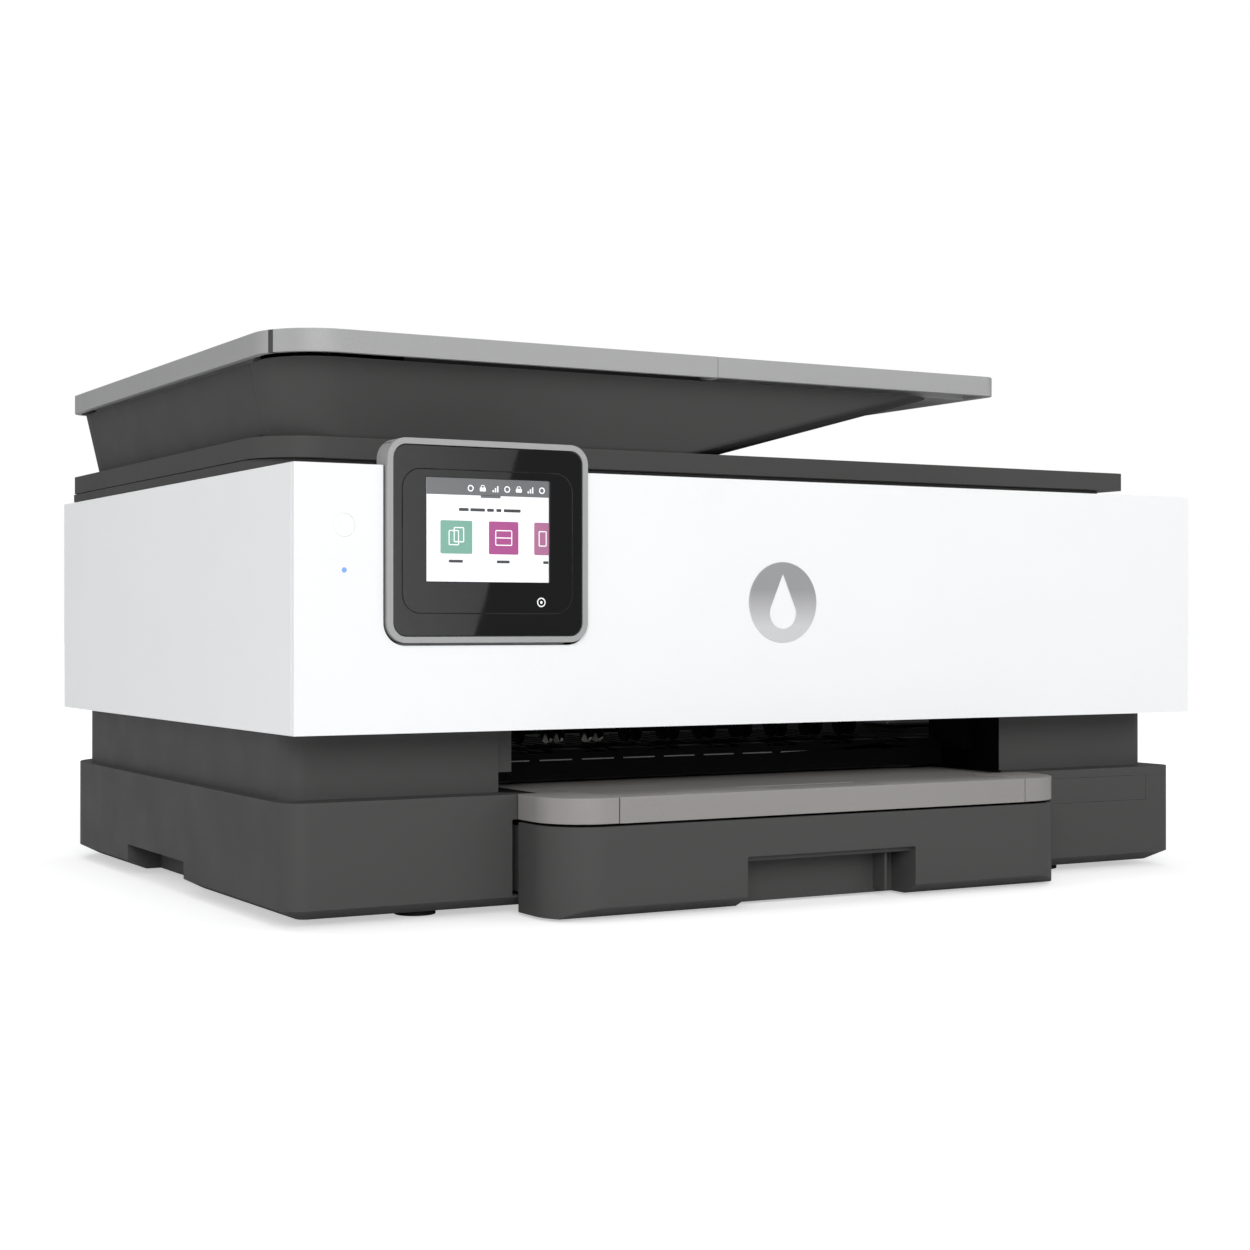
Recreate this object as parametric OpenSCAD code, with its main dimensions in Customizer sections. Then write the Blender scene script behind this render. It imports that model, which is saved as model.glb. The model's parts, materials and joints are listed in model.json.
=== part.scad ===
/* [Body] */
// Width of the white body
body_w = 460; // [450:1:470]
// Depth of the white body
body_d = 335.5; // [330:0.5:340]
// Height of the white band
band_h = 104.4; // [102:0.2:107]
// Height of the white band's lower edge above the table
band_z = 75.5; // [75:0.5:77]
// Wall of the plastic shells
wall = 2.5; // [2:0.1:3]
// How far the rear cover stands behind the white body
back_out = 6.5; // [5:0.5:8]

/* [Front door] */
// Depth of the door's rim
door_depth = 10; // [9:0.5:11]
// Gap between the door and its neighbours
door_gap = 0.6; // [0.5:0.1:0.8]

/* [Control panel] */
// Width of the control panel
panel_w = 88.3; // [86:0.1:90]
// Height of the control panel
panel_h = 80; // [78:0.5:82]
// Distance of the panel's middle from the body's middle
panel_x = 148.4; // [146:0.2:150]
// Height of the panel's lower edge above the table
panel_z = 110.8; // [109:0.2:112]
// Width of the display
screen_w = 53.9; // [52:0.1:56]
// Height of the display
screen_h = 40.8; // [39:0.1:42]

/* [Trays] */
// Half width of the paper drawer and the output tray
tray_half = 131; // [130:0.5:131]
// How far the trays stand in front of the white door
lip_out = 28; // [26:0.5:30]
// Half width of the pull-out extender
extender_half = 103.6; // [100:0.2:106]

/* [Base] */
// Width of the dark base
base_w = 460; // [456:1:460]
// Height of the dark base's upper edge
base_top = 49; // [48.6:0.1:49.2]
// Width of the recessed band above the base
neck_w = 450; // [448:1:452]

/* [Scanner and feeder] */
// Height of the lid's upper face
lid_top = 193.8; // [193.4:0.1:194.2]
// Height of the whole printer
total_h = 234; // [233:0.5:236]

/* [Mechanism] */
// Radius of the carriage's guide rod
rod_r = 4; // [3.5:0.1:4.5]
// Running clearance of shafts in their bores
run_gap = 0.06; // [0.04:0.01:0.08]
// Radius of the toothed belt's pulleys
pulley_r = 7; // [6.5:0.1:7.5]

/* [Hidden] */
$fn = 48;
eps = 0.01;
feed_teeth = 50;
pinion_teeth = 15;
tooth_module = 0.8;
front_y = (lip_out - body_d - back_out) / 2;
function back(d) = front_y + d;
band_top = band_z + band_h;
bed_top = band_top + 5;
base_z = 3;
base_edge = 7.5;
floor_z = 8;
base_r = [10, 36];
neck_y = [back(24), back(330)];
neck_r = [9, 38];
lid_z = bed_top + 0.3;
lid_rear = back(331);
lid_axis_z = 189.5;
corner_r = 25;
panel_cx = -panel_x;
panel_top = panel_z + panel_h;
screen_z = 134.8;
panel_face = back(-2.5);
panel_rear = back(8.5);
panel_pivot = [back(4.5), panel_top - 5.3];
door_pivot = [back(8), band_z + 1.8];
door_pin_r = 1.2;
door_lug_r = 3;
door_hinge_x = 196;
door_skin = 2.5;
lip_y = back(-lip_out);
lip_top = 49.3;
lip_z = 38.9;
rail_y = 30;
guide_y = 12;
guide_z = 90;
belt_y = [20.5, 26.5];
belt_z = 120;
pulley_x = 195;
belt_thick = 1.2;
carriage_x = 160;
carriage_half = 45;
carriage_front = -100;
carriage_z = [78, 138];
slot_w = 20.4;
slot_pitch = 21.9;
feed_y = 20;
feed_z = 57;
output_y = -75;
output_z = 59.5;
star_z = 70;
station_x = 135;
pinion_angle = 10;
gear_gap = (feed_teeth + pinion_teeth) * tooth_module / 2;
pinion_y = feed_y + gear_gap * cos(pinion_angle);
pinion_z = feed_z + gear_gap * sin(pinion_angle);
gear_x = [-205, -199];
transfer_x = [-197.5, -192.5];
pick_pivot = [43, 56];
pick_y = 93;
pick_z = 36;
pick_r = 12;
adf_y = [back(41), back(316)];
adf_rim = [back(17), back(321)];
adf_mid_y = back(169);
adf_seam_x = -29.7;
adf_right = 125;
adf_wall_top = 224.4;
rim_z = 225;
side_panel_y = [back(66), back(300)];
cover_pivot = [-215.6, 197.4];
adf_pick_x = -62;
adf_pick_z = 218;
adf_feed_x = -150;
adf_feed_z = 212;
scan_rod_z = 158;
scan_mid_y = back(170);
guide_half = 108.3;
button_x = 209.5;
button_z = 156.2;
light_z = 138.9;
tray_rear = back(140);
deck_half = 120;
lid_half = 226;

white_c = [0.94, 0.95, 0.95];
dark_c = [0.27, 0.27, 0.27];
black_c = [0.08, 0.08, 0.08];
grey_c = [0.5, 0.5, 0.5];
warm_c = [0.55, 0.54, 0.53];
steel_c = [0.7, 0.72, 0.74];
ivory_c = [0.88, 0.87, 0.82];
board_c = [0.1, 0.4, 0.22];
rubber_c = [0.16, 0.16, 0.17];

// A box between low and high values on each axis
module block(x, y, z) {
    translate([x[0], y[0], z[0]]) cube([x[1] - x[0], y[1] - y[0], z[1] - z[0]]);
}

// A flat outline with one radius on its front corners and another on its back corners
module outline(x, y, front_r, back_r) {
    for (cx = [x[0] + front_r, x[1] - front_r]) translate([cx, y[0] + front_r]) circle(front_r);
    for (cx = [x[0] + back_r, x[1] - back_r]) translate([cx, y[1] - back_r]) circle(back_r);
    translate([x[0] + front_r, y[0]]) square([x[1] - x[0] - 2 * front_r, front_r]);
    translate([x[0] + back_r, y[1] - back_r]) square([x[1] - x[0] - 2 * back_r, back_r]);
    translate([x[0], y[0] + front_r]) square([x[1] - x[0], y[1] - y[0] - front_r - back_r]);
}

// The outline raised between two heights
module slab(x, y, z, front_r, back_r) {
    translate([0, 0, z[0]]) linear_extrude(z[1] - z[0]) outline(x, y, front_r, back_r);
}

// A rod along X, Y or Z from one end to the other
module rod_x(x, y, z, r) {
    translate([x[0], y, z]) rotate([0, 90, 0]) cylinder(h = x[1] - x[0], r = r);
}
module rod_y(x, y, z, r) {
    translate([x, y[1], z]) rotate([90, 0, 0]) cylinder(h = y[1] - y[0], r = r);
}
module rod_z(x, y, z, r) {
    translate([x, y, z[0]]) cylinder(h = z[1] - z[0], r = r);
}

// A gear's flat outline, with plain tapered teeth
module gear_outline(teeth, phase) {
    pitch_r = teeth * tooth_module / 2;
    root_r = pitch_r - 1.3 * tooth_module;
    tip_r = pitch_r + 0.85 * tooth_module;
    step = 360 / teeth;
    circle(root_r);
    for (i = [0:teeth - 1]) rotate(phase + i * step) polygon([
        [root_r - 0.5, -root_r * sin(0.27 * step)], [pitch_r, -pitch_r * sin(0.2 * step)],
        [tip_r, -tip_r * sin(0.09 * step)], [tip_r, tip_r * sin(0.09 * step)],
        [pitch_r, pitch_r * sin(0.2 * step)], [root_r - 0.5, root_r * sin(0.27 * step)]
    ]);
}

// A gear whose axis lies along X
module gear_x_axis(teeth, phase, x, y, z) {
    translate([x[0], y, z]) rotate([90, 0, 90]) linear_extrude(x[1] - x[0]) gear_outline(teeth, phase);
}

// Both sides of the printer
module both_sides() {
    children();
    mirror([1, 0, 0]) children();
}

// ---- Fixed casings ----

module base_housing() color(dark_c) {
    half = base_w / 2;
    y = [back(9), back(332)];
    channel = tray_half + 2;
    ledge = neck_w / 2 - wall;
    grip_y = [back(134), back(218)];
    bevel = 9;
    plate = [141, 211, 33, 45.2];
    difference() {
        union() {
            slab([-half, half], y, [base_edge, base_top], base_r[0], base_r[1]);
            hull() {
                slab([-half + bevel, half - bevel], [y[0] + bevel, y[1] - bevel],
                    [base_z, base_z + eps], 4, base_r[1] - bevel);
                slab([-half, half], y, [base_edge, base_edge + eps], base_r[0], base_r[1]);
            }
        }
        both_sides() difference() {
            intersection() {
                slab([wall - half, half - wall], [y[0] + wall, y[1] - wall], [floor_z, base_top - 2],
                    base_r[0] - wall, base_r[1] - wall);
                block([channel + wall, half], y, [0, base_top]);
            }
            grip_liner(grip_y);
        }
        both_sides() intersection() {
            slab([-ledge, ledge], [neck_y[0] + wall, neck_y[1] - wall], [base_top - 3, base_top + 1],
                neck_r[0] - wall, neck_r[1] - wall);
            block([channel + wall, half], y, [0, base_top + 2]);
        }
        block([-channel, channel], [y[0] - 1, y[1] - wall], [floor_z, base_top + 1]);
        both_sides() block([half - 16, half + 1], grip_y, [0, 15]);
        both_sides() rod_z(200, back(300), [floor_z, base_top + 1], 1.6);
        block([-190.3, -165.7], [y[1] - wall - 1, y[1] + 1], [15.7, 34.3]);
        upright([y[0] - 1, y[0] + 0.3]) difference() {
            translate([plate[0], plate[2]]) square([plate[1] - plate[0], plate[3] - plate[2]]);
            translate([plate[0] + 0.35, plate[2] + 0.35])
                square([plate[1] - plate[0] - 0.7, plate[3] - plate[2] - 0.7]);
        }
    }
    both_sides() difference() {
        rod_z(200, back(300), [floor_z - 1, base_top], 4.5);
        rod_z(200, back(300), [floor_z, base_top + 1], 1.6);
    }
    both_sides() block([deck_half + 0.4, channel + eps], [y[0], tray_rear], [lip_z, base_top]);
}

module grip_liner(grip_y) {
    half = base_w / 2;
    block([half - 18, half], [grip_y[0] - 2, grip_y[1] + 2], [0, 17]);
}

module middle_frame() color(dark_c) {
    half = neck_w / 2;
    y = neck_y;
    z = [base_top, band_z];
    deck = [base_top, base_top + 2];
    slot = tray_half + 1;
    difference() {
        slab([-half, half], y, z, neck_r[0], neck_r[1]);
        slab([-half + wall, half - wall], [y[0] + wall, y[1] - wall], [base_top - 1, band_z + 1],
            neck_r[0] - wall, neck_r[1] - wall);
        block([-slot, slot], [y[0] - 1, y[0] + 30], [base_top - 1, band_z + 1]);
    }
    difference() {
        both_sides() slab([slot + wall, half - wall], [y[0] + 20, y[1] - wall], deck, 2, neck_r[1] - wall);
        block([-213, -160], [output_y - 15, 51], [base_top - 1, base_top + 3]);
        both_sides() rod_z(200, back(300), [40, 60], 2);
    }
    both_sides() block([slot, slot + wall], [y[0] + eps, back(76)], z);
    block([-slot - eps, 7 - slot], [y[0] + 2, y[0] + 22], [57, band_z]);
    block([slot - 6, slot + eps], [back(44), back(70)], [58, 72]);
}

module body_shell() color(white_c) {
    half = body_w / 2;
    y = [back(door_skin + door_gap), back(body_d)];
    difference() {
        slab([-half, half], y, [band_z, band_top], eps, 5);
        block([-half + wall, half - wall], [y[0] - 1, y[1] - wall], [band_z + wall, band_top - wall]);
        block([-half + wall, half - wall], [y[0] - 1, back(14)], [band_z - 1, band_top + 1]);
        block([-half + 18, half - 18], [y[0] - 1, y[1] - 14], [band_z - 1, band_z + wall + 1]);
        block([-half + 15, half - 15], [back(47.5), y[1] - 12], [band_top - wall - 1, band_top + 1]);
        block([-160, 160], [y[1] - wall - 1, y[1] + 1], [88, 166]);
        block([-223.3, -199.7], [y[1] - wall - 1, y[1] + 1], [82.7, 145.3]);
    }
}

module rear_cover() color(dark_c) {
    y = back(body_d);
    out = y + back_out;
    difference() {
        union() {
            block([-159.6, 159.6], [y - wall, y + eps], [88.4, 165.6]);
            block([-166, 166], [y, out], [82, 172]);
        }
        block([-157, 157], [y - wall - 1, out - wall], [91, 163]);
        for (i = [0:11]) block([-66 + i * 12, -60 + i * 12], [out - wall - 1, out + 1], [104, 150]);
        for (x = [-145, 145]) for (z = [97, 157]) rod_y(x, [out - 1.5, out + 1], z, 3.6);
        for (x = [-145, 145]) for (z = [97, 157]) rod_y(x, [out - wall - 1, out + 1], z, 1.7);
    }
}

module rubber_feet() color(rubber_c) {
    for (p = [[-165, back(34)], [165, back(34)], [-200, back(251)], [200, back(251)]])
        difference() {
            rod_z(p[0], p[1], [0, base_z - eps], 8.5);
            rod_z(p[0], p[1], [-1, 0.8], 4);
        }
}

module case_fasteners() color(steel_c) {
    out = back(body_d) + back_out;
    for (x = [-145, 145]) for (z = [97, 157]) difference() {
        union() {
            rod_y(x, [out - 1.45, out - 0.2], z, 3.4);
            rod_y(x, [out - 8, out - 1.4], z, 1.5);
        }
        rod_y(x, [out - 1, out + 1], z, 1.1);
    }
    both_sides() {
        rod_z(200, back(300), [30, base_top + 2.1], 1.5);
        rod_z(200, back(300), [base_top + 2.05, base_top + 3.5], 3.4);
        rod_x([door_hinge_x - 7, body_w / 2 - wall], door_pivot[0], door_pivot[1], door_pin_r);
    }
}

// ---- Scanner ----

module scanner_bed() color(dark_c) {
    tub = [[-212, 212], [back(48), back(322)]];
    rim = [[-lid_half + 0.4, lid_half - 0.4], [back(46), back(334)]];
    foot_z = band_top + 1.3;
    difference() {
        union() {
            slab(rim[0], rim[1], [foot_z, bed_top], 22, 6);
            slab(rim[0] + [3, -3], rim[1] + [3, -3], [band_top, foot_z + eps], 19, 3);
            slab(tub[0], tub[1], [146, band_top + eps], 8, 8);
        }
        slab(tub[0] + [wall, -wall], tub[1] + [wall, -wall], [148.5, 182.4], 6, 6);
        block([-140, 165], [back(60), back(280)], [180, bed_top + 1]);
        block([-190, -174], [back(60), back(280)], [180, bed_top + 1]);
    }
}

module scan_glass() color([0.75, 0.85, 0.85, 0.4]) {
    block([-144, 169], [back(56), back(284)], [179.4, 182.4]);
    block([-194, -170], [back(56), back(284)], [179.4, 182.4]);
}

module scan_head() color(black_c) {
    x = -182;
    difference() {
        union() {
            block([x - 9, x + 9], [back(52), back(288)], [164, 177.5]);
            block([x - 14, x + 14], [scan_mid_y - 16, scan_mid_y + 16], [151, 164 + eps]);
        }
        rod_x([x - 20, x + 20], scan_mid_y, scan_rod_z, 3 + run_gap);
        block([x - 2, x + 2], [back(58), back(282)], [176.5, 178]);
    }
}

module lid_hinges() color(dark_c) {
    y = [back(326.5), back(335)];
    both_sides() {
        for (x = [[142, 147], [163, 168]]) {
            block(x, y, [bed_top, lid_axis_z]);
            rod_x(x, lid_rear, lid_axis_z, 4);
        }
        rod_x([142, 168], lid_rear, lid_axis_z, 2);
    }
}

// ---- Print engine ----

module chassis_frame() color(steel_c) {
    end = 207;
    difference() {
        union() {
            block([-end, end], [rail_y, rail_y + 2], [76, 143]);
            block([-end, end], [rail_y - 8, rail_y + 2], [141, 143]);
            both_sides() block([end, end + 2], [-84, 60], [base_top + 2, 143]);
        }
        rod_x([-220, 220], guide_y, guide_z, rod_r);
        rod_x([-220, 220], feed_y, feed_z, 3 + run_gap);
        rod_x([-220, 220], output_y, output_z, 2.5 + run_gap);
        both_sides() rod_y(pulley_x, [rail_y - 1, rail_y + 3], belt_z, 2 + run_gap);
        for (x = [-150:30:150]) rod_y(x, [rail_y - 1, rail_y + 3], 100, 8);
    }
}

module guide_rods() color(steel_c) {
    rod_x([-208.9, 208.9], guide_y, guide_z, rod_r);
    rod_x([-209.4, 209.4], scan_mid_y, scan_rod_z, 3);
}

module platen() color(black_c) {
    y = [-64, 12];
    plate = [56, 59.5];
    block([-150, station_x - eps], y, plate);
    block([-150, -146], y, [base_top + 2, plate[0] + eps]);
    for (x = [-104:8:104]) block([x, x + 2], [y[0] + 2, y[1] - 2], [plate[1] - eps, 63.4]);
}

module carriage_belt() color(rubber_c)
    translate([0, belt_y[0] + 1, 0]) belt_band([-pulley_x, pulley_x], belt_z, pulley_r + 0.35, 4);

// A flat belt of a given breadth around two equal pulleys whose axes lie along Y
module belt_band(x, z, r, breadth) {
    rotate([90, 0, 0]) translate([0, 0, -breadth]) linear_extrude(breadth) difference() {
        belt_outline(x, z, r + belt_thick);
        belt_outline(x, z, r);
    }
}

module belt_outline(x, z, r) {
    for (cx = x) translate([cx, z]) circle(r);
    translate([x[0], z - r]) square([x[1] - x[0], 2 * r]);
}

module pulley(x) {
    rod_y(x, [belt_y[0], belt_y[1]], belt_z, pulley_r);
    rod_y(x, [belt_y[0] - 1, belt_y[0]], belt_z, pulley_r + 2);
    rod_y(x, [belt_y[1], belt_y[1] + 1], belt_z, pulley_r + 2);
    rod_y(x, [belt_y[1], rail_y + 3.6], belt_z, 2);
}

module drive_pulley() color(steel_c) pulley(-pulley_x);
module idler_pulley() color(steel_c) pulley(pulley_x);

module drive_motors() color(steel_c) {
    difference() {
        union() {
            rod_y(-pulley_x, [rail_y + 2, rail_y + 30], belt_z, 11.5);
            rod_y(-pulley_x, [rail_y + 29, rail_y + 32], belt_z, 5);
        }
        rod_y(-pulley_x, [rail_y, rail_y + 4.5], belt_z, 3);
    }
    difference() {
        rod_x([-191, -163], pinion_y, pinion_z, 11);
        rod_x([-192, -187], pinion_y, pinion_z, 2.2);
    }
    difference() {
        block([-193, -191 + eps], [rail_y + 2, 60], [base_top + 2, 84]);
        rod_x([-194, -190], pinion_y, pinion_z, 2.2);
    }
}

module feed_shaft() {
    color(steel_c) rod_x([-208.5, 208.5], feed_y, feed_z, 3);
    color(rubber_c) rod_x([-112, 112], feed_y, feed_z, 6.4);
    color(ivory_c) gear_x_axis(feed_teeth, 0, gear_x, feed_y, feed_z);
    color(ivory_c) rod_x(transfer_x, feed_y, feed_z, 6);
}

module motor_pinion() color(ivory_c) {
    gear_x_axis(pinion_teeth, pinion_phase(), [gear_x[0] - 0.5, gear_x[1] + 0.5], pinion_y, pinion_z);
    rod_x([gear_x[1], -188], pinion_y, pinion_z, 2);
}

// Turns the pinion so that a gap faces the feed gear's tooth nearest the line of centres
function pinion_phase() = let (step = 360 / feed_teeth)
    let (offset = pinion_angle - round(pinion_angle / step) * step)
    180 + pinion_angle + 180 / pinion_teeth + offset * feed_teeth / pinion_teeth;

module transmission_belt() color(rubber_c) {
    x = [transfer_x[0] + 1, transfer_x[1] - 1];
    translate([x[0], 0, 0]) rotate([90, 0, 90]) linear_extrude(x[1] - x[0]) difference() {
        transfer_outline(6.35 + belt_thick);
        transfer_outline(6.35);
    }
}

module transfer_outline(r) {
    drop = atan2(feed_z - output_z, feed_y - output_y);
    span = norm([feed_y - output_y, feed_z - output_z]);
    translate([output_y, output_z]) rotate(drop) {
        circle(r);
        translate([span, 0]) circle(r);
        translate([0, -r]) square([span, 2 * r]);
    }
}

module output_shaft() {
    color(steel_c) rod_x([-208.5, 208.5], output_y, output_z, 2.5);
    color(ivory_c) rod_x(transfer_x, output_y, output_z, 6);
    color(rubber_c) for (x = [-104:32:88]) rod_x([x, x + 14], output_y, output_z, 4.4);
}

module exit_guide() color(black_c) {
    block([-125.5, 125.5], [-98, -95.5], [50.2, 61.5]);
    block([-125.5, 125.5], [-98, -82], [50.2, 52.5]);
    for (x = [-124:8:124]) block([x - 1, x + 1], [-96, -81], [52.5 - eps, 62.5]);
    for (x = [-112:32:112]) block([x - 8, x + 8], [-98, -88], [61.5 - eps, 63.2]);
    for (x = [-108:21:102]) block([x - 8, x + 8], [-98.6, -98 + eps], [58.6, 59.1]);
}

module star_wheel_bar() {
    bar_z = 75.6;
    color(black_c) block([-206.9, 206.9], [-83, -69], [bar_z, bar_z + 1.8]);
    for (x = [-96.4:20:83.6]) for (side = [-2.8, 2.8]) {
        color(black_c) block([x + side - 0.6 + sign(side) * 1.6, x + side + 0.6 + sign(side) * 1.6],
            [output_y - 2, output_y + 2], [star_z - 1, bar_z + eps]);
        color(ivory_c) rod_x([x + side - 0.8, x + side + 0.8], output_y, star_z, 5.2);
        color(ivory_c) rod_x([x + side - 3, x + side + 3], output_y, star_z, 0.9);
    }
}

module service_station() {
    color(grey_c) difference() {
        block([station_x, 205], [-66, 4], [base_top + 2, 63]);
        block([station_x + 3, 202], [-62, 0], [55, 64]);
    }
    color(rubber_c) for (x = [147, 177]) difference() {
        block([x - 9, x + 9], [-56, -8], [55 - eps, 65.8]);
        block([x - 7, x + 7], [-54, -10], [60, 67]);
    }
}

module rear_paper_guide() color(black_c) {
    y = 126;
    z = 39.3;
    translate([-114, 0, 0]) rotate([90, 0, 90]) linear_extrude(228) difference() {
        union() {
            intersection() {
                translate([y, z]) circle(28);
                translate([y, z - 30]) square([30, 60]);
            }
            translate([30, z + 26]) square([y - 30 + eps, 2]);
        }
        translate([y, z]) circle(26);
    }
    both_sides() block([112, 134.5], [y - 40, y + 10], [z + 26, z + 28]);
    both_sides() block([132.5, 134.5], [y - 40, y + 10], [base_top + 2, z + 28]);
    both_sides() difference() {
        block([25, 28], [pick_pivot[0] - 5, pick_pivot[0] + 5], [pick_pivot[1] - 5, z + 26 + eps]);
        rod_x([24, 29], pick_pivot[0], pick_pivot[1], 2.5 + run_gap);
    }
}

module main_board() {
    color(board_c) block([-221.8, -220.2], [40, 158], [84, 142]);
    color(black_c) for (p = [[60, 100, 14], [92, 110, 20], [128, 96, 12]])
        block([-220.2 - eps, -217.6], [p[0], p[0] + p[2]], [p[1], p[1] + p[2]]);
    color(steel_c) for (y = [66:12:126]) rod_x([-220.2 - eps, -212], y, 136, 3.2);
    color(ivory_c) for (z = [90, 124]) block([-220.2 - eps, -214], [44, 50], [z - 8, z + 8]);
    color(steel_c) for (y = [44, 154]) for (z = [88, 138]) rod_x([-227.5, -221.8 + eps], y, z, 2.2);
}

module power_supply() color(black_c) difference() {
    block([-193, -142], [56, 150], [floor_z, 42]);
    for (i = [0:7]) block([-143.5, -141], [64 + i * 10, 69 + i * 10], [14, 36]);
}

module power_inlet() {
    rear = back(332);
    color(black_c) difference() {
        union() {
            block([-190, -166], [rear - 20, rear], [16, 34]);
            block([-193, -163], [rear - wall - 2.5, rear - wall - 0.02], [13, 37]);
        }
        for (x = [-182, -174]) rod_y(x, [rear - 13, rear + 1], 25, 4.6);
        block([-182, -174], [rear - 13, rear + 1], [21.5, 28.5]);
    }
    color(steel_c) for (x = [-182, -174]) rod_y(x, [rear - 14, rear - 2], 25, 1.2);
}

module socket_blocks() {
    y = [156, back(body_d) - 0.3];
    outer = [[85, 101], [104.5, 116.5], [120, 130], [133.5, 143.5]];
    block([-220.2 + eps, -202], [y[0], y[1] - 4], [83.5, 144.5]);
    for (i = [0:3]) block([-219.6, -202], [y[1] - 4 - eps, y[1]], outer[i]);
}

module socket_hole(w, h, z, rear) {
    block([-210.8 - w / 2, -210.8 + w / 2], [rear - 12, rear + 1], [z - h / 2, z + h / 2]);
}

module rear_sockets() color(steel_c) {
    y_rear = back(body_d) - 0.3;
    difference() {
        socket_blocks();
        socket_hole(12, 11.5, 93, y_rear);
        socket_hole(8.4, 7.6, 110.5, y_rear);
        socket_hole(9.6, 6.4, 125, y_rear);
        socket_hole(9.6, 6.4, 138.5, y_rear);
    }
}

// ---- Trays ----

// The tray and drawer share one rounded front, cut off square where it meets the base
module tray_front(inset) intersection() {
    outline([-tray_half + inset, tray_half - inset], [lip_y + inset, back(20)], 22 - inset, eps);
    translate([-tray_half, lip_y]) square([2 * tray_half, back(8) - lip_y]);
}

module output_tray() color(warm_c) difference() {
    union() {
        translate([0, 0, lip_z]) linear_extrude(lip_top - lip_z) tray_front(0);
        block([-deck_half, deck_half], [back(8) - eps, tray_rear], [lip_z, lip_top - 0.8]);
    }
    block([-extender_half - 0.4, extender_half + 0.4], [lip_y - 1, tray_rear - 3],
        [lip_z + 2.2, lip_top + 1]);
    block([-extender_half - 0.4, extender_half + 0.4], [lip_y - 1, lip_y + 10.4], [lip_z - 1, lip_top]);
    block([-deck_half + 3, deck_half - 3], [back(9), tray_rear - 3], [lip_z - 1, lip_z + 0.8]);
}

module tray_extender() color(warm_c) difference() {
    union() {
        block([-extender_half, extender_half], [lip_y, tray_rear - 4], [lip_z + 2.6, lip_top - 0.6]);
        block([-extender_half, extender_half], [lip_y, lip_y + 10], [lip_z, lip_top]);
    }
    block([-30.5, 30.5], [lip_y + 4, lip_y + 29.5], [lip_top - 4.4, lip_top + 1]);
    rod_x([-35, 35], lip_y + 7.5, lip_top - 2.4, 1 + run_gap);
}

module paper_stop() color(warm_c) {
    block([-30, 30], [lip_y + 7.5, lip_y + 28.5], [lip_top - 3, lip_top - 0.8]);
    rod_x([-30, 30], lip_y + 7.5, lip_top - 2.4, 1.6);
    rod_x([-34, 34], lip_y + 7.5, lip_top - 2.4, 1);
}

module paper_drawer() color(dark_c) {
    top = lip_z - 1;
    z = 1.2;
    pan = tray_half - 1.5;
    pan_y = [back(7), back(280)];
    difference() {
        translate([0, 0, z]) linear_extrude(top - z) tray_front(0);
        translate([0, 0, floor_z]) linear_extrude(top - z) tray_front(wall);
        block([-43, 43], [lip_y - 1, lip_y + 4], [0, 22.2]);
        block([-43, 43], [lip_y - 1, lip_y + 18], [0, 20]);
        translate([-tray_half, 0, 0]) rotate([90, 0, 90]) linear_extrude(2 * tray_half)
            polygon([[lip_y - 1, 0], [lip_y - 1, 6.2], [lip_y, 5.6], [lip_y + 9, z], [lip_y + 9, 0]]);
    }
    difference() {
        block([-45.5, 45.5], [lip_y + wall - eps, lip_y + 20.5], [floor_z - 1, 24.7]);
        block([-43, 43], [lip_y - 1, lip_y + 4], [0, 22.2]);
        block([-43, 43], [lip_y - 1, lip_y + 18], [0, 20]);
    }
    block([33, 34.5], [lip_y + 9, lip_y + 18.5], [3, 20 + eps]);
    difference() {
        block([-pan, pan], [pan_y[0], pan_y[1]], [9, 36]);
        block([-pan + wall, pan - wall], [pan_y[0] - 1, pan_y[1] - wall], [11.2, 40]);
        block([-pan - 1, pan + 1], [back(200), pan_y[1] + 1], [21, 40]);
        for (x = [-60, 60]) block([x - 25, x + 25], [back(150), back(152.5)], [11.2 - 1.2, 12]);
    }
}

module width_guide_right() color(dark_c) {
    block([guide_half, guide_half + 2], [back(70), back(190)], [11.6, 34]);
    block([guide_half - 26, guide_half + 2], [back(100), back(135)], [11.6, 12.8]);
}

module width_guide_left() mirror([1, 0, 0]) width_guide_right();

module length_guide() color(dark_c) {
    block([-18, 18], [back(22), back(24)], [11.6, 34]);
    block([-10, 10], [back(22), back(50)], [11.6, 12.8]);
}

// ---- Front door and control panel ----

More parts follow.
